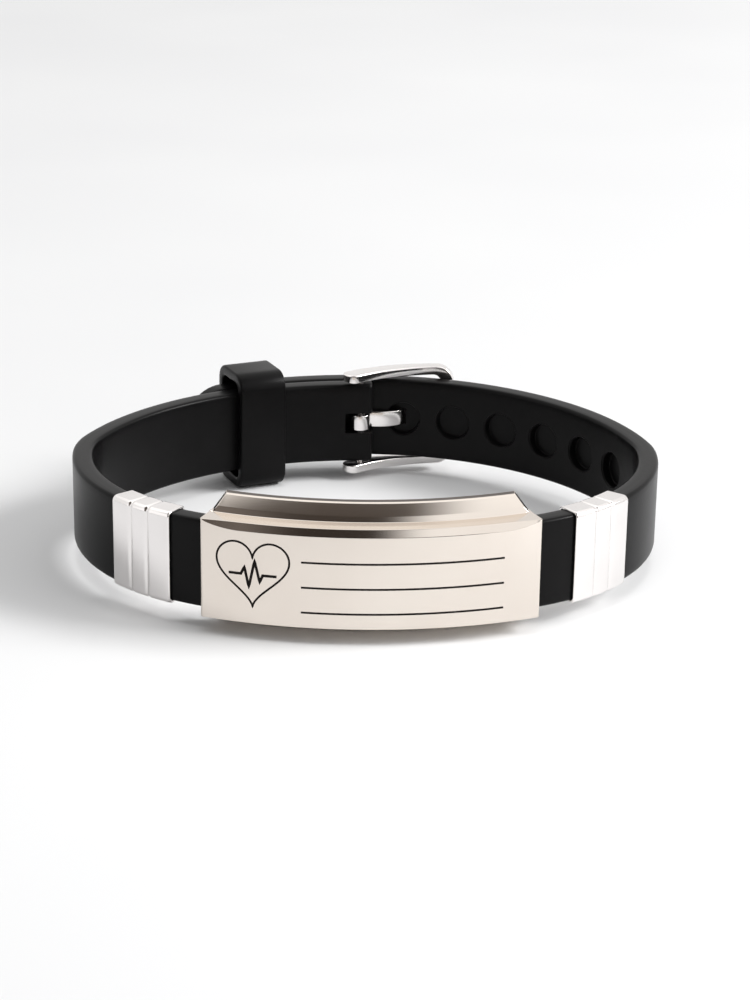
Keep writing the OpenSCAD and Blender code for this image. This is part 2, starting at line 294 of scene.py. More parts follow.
@dataclass(frozen=True)
class BurntEtching(Finish):
    """Dark oxide that a laser leaves in the plate's face."""

    name: str = "burnt_etching"
    dark: Colour = (0.004, 0.003, 0.0028)
    brown: Colour = (0.018, 0.013, 0.011)
    speckle_stops: Span = (0.4, 0.8)
    speckle_per_m: float = 9000.0
    speckle_detail: float = 2.0
    rough: Span = (0.55, 0.8)
    gloss: float = 0.15

    def surface(self, sheet: NodeSheet, place: Socket) -> Node:
        """Write the oxide.

        Args:
            sheet: The material's sheet.
            place: Socket of the place on the piece.

        Returns:
            The shader.
        """
        speckle = sheet.noise(place, self.speckle_per_m, self.speckle_detail)
        return sheet.add("ShaderNodeBsdfPrincipled", {
            "Base Color": sheet.two_tone(speckle, self.speckle_stops, self.dark, self.brown),
            "Roughness": sheet.between(speckle, *self.rough),
            "Specular IOR Level": self.gloss,
        })


@dataclass(frozen=True)
class PaleTable(Finish):
    """Plain white table top."""

    name: str = "pale_table"
    white: Colour = (0.86, 0.86, 0.86)
    off_white: Colour = (0.82, 0.82, 0.825)
    mottle_stops: Span = (0.3, 0.7)
    mottle_per_m: float = 8.0
    mottle_detail: float = 2.0
    rough: float = 0.9
    gloss: float = 0.1

    def surface(self, sheet: NodeSheet, place: Socket) -> Node:
        """Write the table's paint.

        Args:
            sheet: The material's sheet.
            place: Socket of the place on the table.

        Returns:
            The shader.
        """
        mottle = sheet.noise(place, self.mottle_per_m, self.mottle_detail)
        return sheet.add("ShaderNodeBsdfPrincipled", {
            "Base Color": sheet.two_tone(mottle, self.mottle_stops, self.off_white, self.white),
            "Roughness": self.rough,
            "Specular IOR Level": self.gloss,
        })


def shade(piece: Piece, sharp_deg: float) -> None:
    """Shade a piece smooth, apart from its edges that turn by more than an angle."""
    piece.data.shade_smooth()
    piece.data.set_sharp_from_angle(angle=math.radians(sharp_deg))


def object_from(mesh: Mesh, name: str, material: Material, sharp_deg: float = SHARP_DEG) -> Piece:
    """Turn a bmesh into a smooth-shaded object of the scene.

    Args:
        mesh: The finished bmesh, which is freed.
        name: Name of the object.
        material: Its material.
        sharp_deg: Edges that turn by more than this stay sharp.

    Returns:
        The new object.
    """
    bmesh.ops.recalc_face_normals(mesh, faces=mesh.faces)
    data = bpy.data.meshes.new(name)
    mesh.to_mesh(data)
    mesh.free()
    data.materials.append(material)
    made = bpy.data.objects.new(name, data)
    shade(made, sharp_deg)
    bpy.context.scene.collection.objects.link(made)
    return made


def bridge_rings(mesh: Mesh, rings: list[Ring], closed: bool) -> list[list[bmesh.types.BMVert]]:
    """Join rings of points with quads.

    Args:
        mesh: Where the faces go.
        rings: Rings of as many points each.
        closed: Whether the last ring joins the first again.

    Returns:
        The rings' vertices.
    """
    rows = [[mesh.verts.new(point) for point in ring] for ring in rings]
    count = len(rows[0])
    pairs = list(zip(rows, rows[1:] + rows[:1])) if closed else list(zip(rows, rows[1:]))
    for here, there in pairs:
        for k in range(count):
            after = (k + 1) % count
            mesh.faces.new((here[k], here[after], there[after], there[k]))
    return rows


def sweep(mesh: Mesh, rings: list[Ring], closed: bool) -> None:
    """Join rings of points with quads into a closed solid.

    Args:
        mesh: Where the faces go.
        rings: Rings of as many points each.
        closed: Whether the last ring joins the first again. If not, both ends get a face.
    """
    rows = bridge_rings(mesh, rings, closed)
    if not closed:
        mesh.faces.new(list(reversed(rows[0])))
        mesh.faces.new(rows[-1])


def swept(rings: list[Ring], name: str, material: Material, closed: bool = False,
          sharp_deg: float = SHARP_DEG) -> Piece:
    """Sweep rings of points into an object.

    Args:
        rings: Rings of as many points each.
        name: Name of the object.
        material: Its material.
        closed: Whether the last ring joins the first again.
        sharp_deg: Edges that turn by more than this stay sharp.

    Returns:
        The new object.
    """
    mesh = bmesh.new()
    sweep(mesh, rings, closed)
    return object_from(mesh, name, material, sharp_deg)


def block(corners: Iterable[Vector], name: str, material: Material) -> Piece:
    """Make a convex block.

    Args:
        corners: Its corners.
        name: Name of the object.
        material: Its material.

    Returns:
        The block.
    """
    mesh = bmesh.new()
    bmesh.ops.convex_hull(mesh, input=[mesh.verts.new(corner) for corner in corners])
    return object_from(mesh, name, material)


def rod(middle: Vector, radius: float, length: float, sides: int, material: Material) -> Piece:
    """Make an upright round rod that cuts a bore.

    Args:
        middle: Its middle.
        radius: Its radius.
        length: Its length.
        sides: How many sides stand for its round.
        material: Its material.

    Returns:
        The rod.
    """
    mesh = bmesh.new()
    bmesh.ops.create_cone(mesh, cap_ends=True, segments=sides, radius1=radius, radius2=radius, depth=length,
                          matrix=Matrix.Translation(middle))
    return object_from(mesh, "rod", material)


def carve(piece: Piece, cutter: Piece) -> None:
    """Cut one object out of another, and drop the cutter.

    Args:
        piece: What is cut, and gets a new mesh.
        cutter: What it is cut with.
    """
    tool = piece.modifiers.new("carve", "BOOLEAN")
    tool.operation = "DIFFERENCE"
    tool.solver = "EXACT"
    tool.object = cutter
    graph = bpy.context.evaluated_depsgraph_get()
    whole = piece.data
    piece.data = bpy.data.meshes.new_from_object(piece.evaluated_get(graph))
    piece.modifiers.clear()
    bpy.data.meshes.remove(whole)
    bpy.data.objects.remove(cutter)


def soften(piece: Piece, width: float, steps: int, sharp_deg: float) -> None:
    """Round a piece's sharp edges off with a bevel modifier.

    Args:
        piece: The piece.
        width: Width of the rounding.
        steps: How many faces the rounding has.
        sharp_deg: Edges that turn by more than this are rounded.
    """
    bevel = piece.modifiers.new("soft_edges", "BEVEL")
    bevel.width = width
    bevel.segments = steps
    bevel.limit_method = "ANGLE"
    bevel.angle_limit = math.radians(sharp_deg)
    bevel.use_clamp_overlap = False
    bevel.harden_normals = True


def quarter_turns(steps: int) -> list[float]:
    """Angles from 0 to a right angle in even steps."""
    return [QUARTER * step / steps for step in range(steps + 1)]


def rounded(width: float, height: float, radius: float, steps: int,
            flats: tuple[int, int] = (1, 1)) -> list[Plan]:
    """Outline of a rectangle with round corners, anticlockwise from its right side.

    Args:
        width: Its size across.
        height: Its size upward.
        radius: Radius of its corners.
        steps: How many pieces each corner has.
        flats: How many pieces its level sides and its upright sides have.

    Returns:
        Points of the outline.
    """
    points: list[Plan] = []
    for quarter in range(4):
        sign_x = 1 if quarter in (0, 3) else -1
        sign_y = 1 if quarter < 2 else -1
        for step in range(steps + 1):
            angle = QUARTER * (quarter + step / steps)
            points.append((sign_x * (width / 2 - radius) + radius * math.cos(angle),
                           sign_y * (height / 2 - radius) + radius * math.sin(angle)))
        last_x, last_y = points[-1]
        upright = quarter % 2
        for step in range(1, flats[upright]):
            share = 1 - 2 * step / flats[upright]
            points.append((last_x, last_y * share) if upright else (last_x * share, last_y))
    return points


def fillet(before: Plan, corner: Plan, after: Plan, radius: float, steps: int) -> list[Plan]:
    """Round off a corner of a polyline.

    Args:
        before: The point before the corner.
        corner: The corner.
        after: The point after it.
        radius: Radius of the arc that takes the corner's place.
        steps: How many pieces the arc has.

    Returns:
        Points of the arc, from one tangent point to the other.
    """
    here = Vector(corner)
    back = (Vector(before) - here).normalized()
    on = (Vector(after) - here).normalized()
    half = back.angle(on) / 2
    centre = here + (back + on).normalized() * (radius / math.sin(half))
    first = here + back * (radius / math.tan(half)) - centre
    turned = (math.pi - 2 * half) * (1 if back.cross(on) < 0 else -1)
    points = []
    for step in range(steps + 1):
        turn = turned * step / steps
        x = first.x * math.cos(turn) - first.y * math.sin(turn)
        y = first.x * math.sin(turn) + first.y * math.cos(turn)
        points.append((centre.x + x, centre.y + y))
    return points


@dataclass
class Arc:
    """One arc of the strap's plan, with its angles in radians."""

    centre: Plan
    radius: float
    start: float
    end: float

    def length(self) -> float:
        """Length of the arc."""
        return self.radius * (self.end - self.start)

    def at(self, angle: float, out: float = 0.0) -> Plan:
        """Point at an angle of the arc, moved outward by out."""
        reach = self.radius + out
        return self.centre[0] + reach * math.cos(angle), self.centre[1] + reach * math.sin(angle)


@dataclass
class LoopPlan:
    """Plan of the closed strap: tangent arcs from its short end round to its free end."""

    strap_t: float = 2.8 * MM
    loop_d: float = 62.6 * MM
    corner_r: float = 15.0 * MM
    lap_gap: float = 0.25 * MM
    plate_l: float = 43.8 * MM
    plate_r: float = 56.0 * MM
    face_out: float = 2.7 * MM
    end_past_pin: float = 1.8 * MM
    keeper_s: float = 16.0 * MM
    keeper_l: float = 7.1 * MM
    tail_past: float = 0.5 * MM
    hole_r: float = 2.5 * MM
    tongue_hole_s: float = 6.7 * MM
    tongue_slope: float = math.radians(47.0)
    strap_w: float = field(init=False)
    middle_z: float = field(init=False)
    front_y: float = field(init=False)
    half: float = field(init=False)
    side_y: float = field(init=False)
    lap: float = field(init=False)
    front_a: float = field(init=False)
    front_r: float = field(init=False)
    inner_c: Plan = field(init=False)
    inner_r: float = field(init=False)
    outer_c: Plan = field(init=False)
    outer_r: float = field(init=False)
    tail_r: float = field(init=False)
    keeper_a: float = field(init=False)
    pin: Plan = field(init=False)
    arcs: list[Arc] = field(init=False)

    def __post_init__(self) -> None:
        """Take what the solid model gives, and work out the arcs."""
        low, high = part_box("strap")
        self.strap_w = high.z - low.z
        self.middle_z = (low.z + high.z) / 2
        self.front_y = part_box("id_plate")[0].y + self.face_out
        self.half = (high.x - low.x) / 2 - self.strap_t / 2
        self.lap = self.strap_t + self.lap_gap
        self.pin = (0.0, self.loop_d)
        front_a = math.asin(self.plate_l / 2 / self.plate_r)
        front_r = self.plate_r - self.face_out
        shoulder_r = (self.half - front_r * math.sin(front_a)) / (1 - math.sin(front_a))
        side_y = front_r * (1 - math.cos(front_a)) + shoulder_r * math.cos(front_a)
        self.front_a, self.front_r, self.side_y = front_a, front_r, side_y
        self.inner_c, self.inner_r, inner_a = self.closing(self.loop_d)
        self.outer_c, self.outer_r, outer_a = self.closing(self.loop_d + self.lap)
        self.tail_r = self.inner_r + self.lap
        self.keeper_a = self.keeper_s / self.inner_r
        end_a = QUARTER - self.end_past_pin / self.inner_r
        tip_a = self.keeper_a + (self.keeper_l / 2 + self.tail_past) / self.tail_r
        corner_x, shoulder_x = self.half - self.corner_r, self.half - shoulder_r
        self.arcs = [
            Arc(self.inner_c, self.inner_r, end_a, 2 * QUARTER - inner_a),
            Arc((-corner_x, side_y), self.corner_r, 2 * QUARTER - inner_a, 2 * QUARTER),
            Arc((-shoulder_x, side_y), shoulder_r, 2 * QUARTER, 3 * QUARTER - front_a),
            Arc((0.0, front_r), front_r, 3 * QUARTER - front_a, 3 * QUARTER + front_a),
            Arc((shoulder_x, side_y), shoulder_r, 3 * QUARTER + front_a, 4 * QUARTER),
            Arc((corner_x, side_y), self.corner_r, 4 * QUARTER, 4 * QUARTER + outer_a),
            Arc(self.outer_c, self.outer_r, 4 * QUARTER + outer_a, 5 * QUARTER),
            Arc(self.inner_c, self.tail_r, 5 * QUARTER, 5 * QUARTER + tip_a),
        ]

    def closing(self, depth: float) -> tuple[Plan, float, float]:
        """Work out the back arc that closes the loop.

        Args:
            depth: Where its middle is, back from the middle of the front.

        Returns:
            Its centre, its radius, and the angle at which it meets a corner.
        """
        past = depth - self.side_y
        corner_x = self.half - self.corner_r
        radius = (corner_x ** 2 + past ** 2 - self.corner_r ** 2) / (2 * (past - self.corner_r))
        centre = (0.0, depth - radius)
        return centre, radius, math.atan2(self.side_y - centre[1], corner_x)

    def point(self, plan: Plan | Vector, up: float) -> Vector:
        """Point of the scene for a point of the plan, up from the strap's middle."""
        return Vector((plan[0], plan[1] + self.front_y, up + self.middle_z))

    def at_front(self, turn: float, out: float, up: float) -> Vector:
        """Point of the scene at an angle along the front arc, out from the strap's middle and up."""
        reach = self.front_r + out
        return self.point((reach * math.sin(turn), self.front_r - reach * math.cos(turn)), up)

    def row(self, distance: float) -> tuple[Arc, float]:
        """Arc and angle of the holed layer at a distance.

        Args:
            distance: How far from the middle of the back, to the right.

        Returns:
            The arc and the angle on it.
        """
        if distance < 0:
            return self.arcs[7], QUARTER - distance / self.tail_r
        if distance <= self.arcs[6].length():
            return self.arcs[6], QUARTER - distance / self.outer_r
        past = distance - self.arcs[6].length()
        return self.arcs[5], self.arcs[5].end - 4 * QUARTER - past / self.corner_r


@dataclass
class StrapBand:
    """The silicone strap, swept along the plan, with its holes, slot and bore."""

    plan: LoopPlan
    skin: Material
    edge_r: float = 0.5 * MM
    least_r: float = 0.01 * MM
    section_l: float = 0.7 * MM
    corner_steps: int = 4
    flat_steps: tuple[int, int] = (3, 14)
    tip_steps: int = 14
    end_steps: int = 5
    hole_rim: float = 0.22 * MM
    hole_pitch: float = 8.0 * MM
    holes: range = range(-2, 6)
    hole_sides: int = 48
    web_t: float = 0.4 * MM
    floor_r: float = 0.2 * MM
    pin_bore_r: float = 0.73 * MM
    pin_bore_sides: int = 24
    web_slot_t: float = 0.84 * MM
    web_slot_w: float = 2.44 * MM
    web_slot_l: float = 2.4 * MM
    slot_w: float = 3.12 * MM
    slot_from: float = -2.25 * MM
    slot_to: float = 3.3 * MM

    def profile(self, inset: float) -> list[Plan]:
        """Rounded section of the strap.

        Args:
            inset: How far the section is drawn in all round.

        Returns:
            Points, outward and up, anticlockwise from the outer face.
        """
        return rounded(self.plan.strap_t - 2 * inset, self.plan.strap_w - 2 * inset,
                       max(self.edge_r - inset, self.least_r), self.corner_steps, self.flat_steps)

    def rings(self) -> list[Ring]:
        """Sweep the section from the short end's rounded edge to the middle of the round tip.

        Returns:
            The rings.
        """
        plan = self.plan
        rings: list[Ring] = []
        first = plan.arcs[0]
        for turn in quarter_turns(self.end_steps)[:-1]:
            inset = self.edge_r * (1 - math.sin(turn))
            angle = first.start + self.edge_r * (1 - math.cos(turn)) / first.radius
            rings.append([plan.point(first.at(angle, out), up) for out, up in self.profile(inset)])
        section = self.profile(0.0)
        for arc in plan.arcs:
            begin = arc.start + (self.edge_r / arc.radius if arc is first else 0.0)
            steps = math.ceil(arc.radius * (arc.end - begin) / self.section_l)
            for step in range(0 if arc is first else 1, steps + 1):
                angle = begin + (arc.end - begin) * step / steps
                rings.append([plan.point(arc.at(angle, out), up) for out, up in section])
        return rings + self.tip_rings(section)

    def tip_rings(self, section: list[Plan]) -> list[Ring]:
        """Round the free end, where each point of the section follows a half circle of its own.

        Args:
            section: The full section.

        Returns:
            The rings after the last full one.
        """
        last = self.plan.arcs[-1]
        flat = self.plan.strap_w / 2 - self.edge_r
        rings = []
        for turn in quarter_turns(self.tip_steps)[1:]:
            ring = []
            for out, up in section:
                angle = last.end + max(abs(up), flat) * math.sin(turn) / last.radius
                ring.append(self.plan.point(last.at(angle, out), up * math.cos(turn)))
            rings.append(ring)
        return rings

    def recess(self, side: int) -> list[Plan]:
        """Outline of a hole's recess from one face down to the web, with a rounded corner and mouth.

        Args:
            side: 1 for the outer face and -1 for the inner one.

        Returns:
            Points, as reach from the hole's axis and depth along it.
        """
        hole_r, floor, half_t = self.plan.hole_r, self.web_t / 2, self.plan.strap_t / 2
        turns = quarter_turns(self.corner_steps)
        corner = [(hole_r - self.floor_r * (1 - math.sin(turn)),
                   side * (floor + self.floor_r * (1 - math.cos(turn)))) for turn in turns]
        mouth = [(hole_r + self.hole_rim * (1 - math.cos(turn)),
                  side * (half_t - self.hole_rim * (1 - math.sin(turn)))) for turn in turns]
        past = [(hole_r + self.hole_rim, 2 * side * half_t), (0.0, 2 * side * half_t)]
        return [(0.0, side * floor)] + corner + mouth + past

    def hole_cutters(self) -> Piece:
        """Turn a pair of recesses for each adjusting hole.

        Returns:
            The cutters, as one piece.
        """
        mesh = bmesh.new()
        for number in self.holes:
            arc, angle = self.plan.row(self.plan.tongue_hole_s + number * self.hole_pitch)
            centre = self.plan.point(arc.at(angle), 0.0)
            out = Vector((math.cos(angle), math.sin(angle), 0.0))
            along = Vector((-math.sin(angle), math.cos(angle), 0.0))
            for outline in (self.recess(-1), self.recess(1)):
                rows = []
                for side in range(self.hole_sides):
                    turn = 2 * math.pi * side / self.hole_sides
                    spoke = along * math.cos(turn) + Vector((0.0, 0.0, math.sin(turn)))
                    places = [centre + out * depth + spoke * reach for reach, depth in outline]
                    rows.append([mesh.verts.new(place) for place in places])
                for here, there in zip(rows, rows[1:] + rows[:1]):
                    for k in range(len(outline) - 1):
                        mesh.faces.new((here[k], here[k + 1], there[k + 1], there[k]))
        bmesh.ops.remove_doubles(mesh, verts=mesh.verts, dist=WELD)
        return object_from(mesh, "hole_cutters", self.skin)

    def web_cutter(self) -> Piece:
        """Make the cutter of the slot that the tongue makes through the web of its own hole.

        Returns:
            The cutter.
        """
        plan = self.plan
        arc, angle = plan.row(plan.tongue_hole_s)
        middle = Vector(arc.at(angle))
        climb = Vector((math.cos(plan.tongue_slope), math.sin(plan.tongue_slope)))
        across = Vector((-climb.y, climb.x))
        places = [
            middle + climb * (end * self.web_slot_l / 2) + across * (side * self.web_slot_t / 2)
            for end in (-1, 1)
            for side in (-1, 1)
        ]
        corners = [plan.point(place, up * self.web_slot_w / 2) for place in places for up in (-1, 1)]
        return block(corners, "web_cutter", self.skin)

    def slot_cutter(self) -> Piece:
        """Make the cutter of the slot that the tongue swings in, open at the short end.

        Returns:
            The cutter.
        """
        plan = self.plan
        corners = [
            plan.point((plan.pin[0] + x, plan.pin[1] + y), side * self.slot_w / 2)
            for x in (self.slot_from, self.slot_to)
            for y in (-plan.strap_t, (plan.strap_t + plan.lap_gap) / 2)
            for side in (-1, 1)
        ]
        return block(corners, "slot_cutter", self.skin)

    def build(self) -> Piece:
        """Sweep the band, cut it and put it in place of the plain solid.

        Returns:
            The strap.
        """
        plan = self.plan
        mesh = bmesh.new()
        rows = bridge_rings(mesh, self.rings(), closed=False)
        mesh.faces.new(list(reversed(rows[0])))
        bmesh.ops.remove_doubles(mesh, verts=mesh.verts, dist=WELD)
        strap = object_from(mesh, "silicone_strap", self.skin)
        carve(strap, self.hole_cutters())
        carve(strap, self.web_cutter())
        bore_mid = plan.point(plan.pin, 0.0)
        carve(strap, rod(bore_mid, self.pin_bore_r, 2 * plan.strap_w, self.pin_bore_sides, self.skin))
        carve(strap, self.slot_cutter())
        shade(strap, SHARP_DEG)
        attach(strap, BODY)
        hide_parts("strap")
        return strap


@dataclass
class KeeperLoop:
    """Moulded silicone loop round both layers of the strap."""

    plan: LoopPlan
    skin: Material
    wall: float = 1.5 * MM
    face_play: float = 0.25 * MM
    edge_play: float = 1.3 * MM
    corner_r: float = 2.4 * MM
    inner_corner_r: float = 1.2 * MM
    edge_r: float = 0.3 * MM
    corner_steps: int = 8
    flat_steps: tuple[int, int] = (6, 6)
    edge_steps: int = 3

    def build(self) -> Piece:
        """Sweep the rounded wall round the lapped strap and put it in place of the plain solid.

        Returns:
            The keeper loop.
        """
        plan = self.plan
        thick = plan.lap + plan.strap_t + 2 * self.face_play
        tall = plan.strap_w + 2 * self.edge_play
        steps = (self.corner_steps, self.flat_steps)
        inner = rounded(thick, tall, self.inner_corner_r, *steps)
        outer = rounded(thick + 2 * self.wall, tall + 2 * self.wall, self.corner_r, *steps)
        section = rounded(plan.keeper_l, self.wall, self.edge_r, self.edge_steps)
        angle = QUARTER + plan.keeper_a
        cos, sin = math.cos(angle), math.sin(angle)
        middle = plan.inner_r + plan.lap / 2
        rings = []
        for near, far in zip(inner, outer):
            ring = []
            for along, depth in section:
                share = 0.5 + depth / self.wall
                reach = near[0] + (far[0] - near[0]) * share + middle
                up = near[1] + (far[1] - near[1]) * share
                x, y = cos * reach - sin * along, sin * reach + cos * along
                ring.append(plan.point((plan.inner_c[0] + x, plan.inner_c[1] + y), up))
            rings.append(ring)
        keeper = swept(rings, "keeper_band", self.skin, closed=True)
        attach(keeper, BODY)
        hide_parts("keeper_loop")
        return keeper


@dataclass
class IdPlate:
    """The curved channel with its sloping band, ledges and flared lips."""

    plan: LoopPlan
    finish: Material
    # near-black steel painted on the lips' flat rims as painted shade
    dark_rim_paint: Material
    play: float = 0.2 * MM
    back_t: float = 0.6 * MM
    edge_t: float = 0.5 * MM
    bevel_h: float = 0.95 * MM
    bevel_d: float = 0.5 * MM
    band_inset: float = 0.2 * MM
    band_run: float = 5.0 * MM
    band_bow: float = 0.7
    band_least: float = 0.02
    ledge_d: float = 2.6 * MM
    lip_rise: float = 2.0 * MM
    lip_top_w: float = 1.1 * MM
    lip_inset: float = 0.5 * MM
    lip_slant: float = 1.7 * MM
    knee: Plan = (0.45 * MM, 0.65 * MM)
    roll_r: float = 0.65 * MM
    roll_steps: int = 8
    arc_steps: int = 96
    over: float = 1.0 * MM
    clear: float = 0.05 * MM
    soft_r: float = 0.07 * MM
    soft_steps: int = 3
    sharp_deg: float = 14.0
    flat_cos: float = 0.998
    end_r: float = 0.45 * MM
    end_steps: int = 8
    top: float = field(init=False)
    ledge_back: float = field(init=False)
    lip_top: float = field(init=False)

    def __post_init__(self) -> None:
        """Work out the section's levels."""
        self.top = self.plan.strap_w / 2 + self.play + self.edge_t
        self.ledge_back = self.plan.face_out - self.bevel_d - self.ledge_d
        self.lip_top = self.top + self.lip_rise

    def half_section(self) -> list[Plan]:
        """Draw the upper half of the outside, from the face round the lip to the back.

        Returns:
            Points, outward and up.
        """
        face = (self.plan.face_out, self.top)
        foot = (self.ledge_back, self.top)
        knee = (foot[0] - self.knee[0], foot[1] + self.knee[1])
        crown = (foot[0] - self.lip_rise, self.lip_top)
        heel = (crown[0] - self.lip_top_w, self.lip_top)
        back_out = -(self.plan.strap_t / 2 + self.play + self.back_t)
        roll = fillet(knee, crown, heel, self.roll_r, self.roll_steps)
        return [face, foot, knee] + roll + [heel, (foot[0] - self.lip_top_w, self.top), (back_out, self.top)]

    def sector(self, section: list[Plan], half_a: float, name: str) -> Piece:
        """Sweep a section along the plate's arc.

        Args:
            section: Points, outward and up.
            half_a: Half of the arc's angle.
            name: Name of the object.

        Returns:
            The swept solid.
        """
        turns = [half_a * (2 * step / self.arc_steps - 1) for step in range(self.arc_steps + 1)]
        rings = [[self.plan.at_front(turn, out, up) for out, up in section] for turn in turns]
        return swept(rings, name, self.finish)

    def band_cutter(self) -> Piece:
        """Make the cutter of the sloping band, which runs out to a point at both ends of the upper edge.

        Returns:
            The cutter.
        """
        plan = self.plan
        end = plan.plate_l / 2 - self.band_inset
        rings = []
        for step in range(self.arc_steps + 1):
            across = end * (2 * step / self.arc_steps - 1)
            left = min(1.0, (end - abs(across)) / self.band_run)
            share = max(math.sin(QUARTER * left) ** self.band_bow, self.band_least)
            slope = Vector((self.bevel_d, -self.bevel_h)) * share
            head = Vector((plan.face_out - self.bevel_d * share, self.top))
            foot = head + slope
            past = slope.normalized() * self.over
            rim = Vector((-past.y, past.x))
            turn = math.asin(across / plan.plate_r)
            corners = (foot + past, foot + past + rim, head - past + rim, head - past)
            rings.append([plan.at_front(turn, out, up) for out, up in corners])
        return swept(rings, "band_cutter", self.finish)

    def lip_end_cutter(self, side: int, end: int) -> Piece:
        """Make the cutter of a lip's slanted end.

        Args:
            side: 1 for the upper lip and -1 for the lower one.
            end: 1 for the right end and -1 for the left one.

        Returns:
            The cutter.
        """
        plan = self.plan
        foot_half = (plan.front_r + self.ledge_back) * math.sin(plan.front_a) - self.lip_inset
        head_half = foot_half - self.lip_slant * (1 + self.over / self.lip_rise)
        foot_up, head_up = self.top + self.clear, self.lip_top + self.over
        past = plan.plate_l
        outline = [(foot_half, foot_up), (past, foot_up), (past, head_up), (head_half, head_up)]
        depth = plan.plate_r / 2
        rings = [[plan.point((end * x, y), side * up) for x, up in outline] for y in (-depth, depth)]
        return swept(rings, "lip_end_cutter", self.finish)

    def end_rounding(self, end: int) -> Piece:
        """Make the cutter that rounds off the upright edge of the face at one end of the plate.

        Args:
            end: 1 for the right end and -1 for the left one.

        Returns:
            The cutter.
        """
        plan = self.plan
        along = Vector((math.cos(plan.front_a), math.sin(plan.front_a)))
        out = Vector((math.sin(plan.front_a), -math.cos(plan.front_a)))
        corner = Vector((0.0, plan.front_r)) + out * plan.plate_r
        centre = corner - (along + out) * self.end_r
        outline = [centre + (along * math.cos(turn) + out * math.sin(turn)) * self.end_r
                   for turn in quarter_turns(self.end_steps)]
        first, last = outline[0], outline[-1]
        outline += [last + out * self.over, corner + (along + out) * self.over, first + along * self.over]
        reach = self.top + self.over
        rings = [[plan.point((end * place.x, place.y), up) for place in outline] for up in (-reach, reach)]
        return swept(rings, "end_rounding", self.finish)

    def paint_dark_rims(self, plate: Piece) -> None:
        """Paint the flat rims of both lips near-black: painted shade, darker than the polish around them.

        Args:
            plate: The plate, whose first finish is its polish.
        """
        # painted shade: the second material darkens the flat top faces of both lips
        plate.data.materials.append(self.dark_rim_paint)
        least = self.lip_top - self.soft_r
        for face in plate.data.polygons:
            if abs(face.center.z - self.plan.middle_z) > least and abs(face.normal.z) > self.flat_cos:
                face.material_index = 1

    def build(self) -> Piece:
        """Sweep the plate, cut it and put it in place of the plain solid.

        Returns:
            The plate.
        """
        plan = self.plan
        upper = self.half_section()
        lower = [(out, -up) for out, up in reversed(upper)]
        plate = self.sector(upper + lower, plan.front_a, "id_face_plate")
        half_t, half_w = plan.strap_t / 2 + self.play, plan.strap_w / 2 + self.play
        channel = [(-half_t, -half_w), (half_t, -half_w), (half_t, half_w), (-half_t, half_w)]
        carve(plate, self.sector(channel, plan.front_a + self.over / plan.front_r, "channel_cutter"))
        carve(plate, self.band_cutter())
        for end in (1, -1):
            carve(plate, self.end_rounding(end))
            for side in (1, -1):
                carve(plate, self.lip_end_cutter(side, end))
        self.paint_dark_rims(plate)
        shade(plate, self.sharp_deg)
        soften(plate, self.soft_r, self.soft_steps, self.sharp_deg)
        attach(plate, BODY)
        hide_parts("id_plate")
        return plate


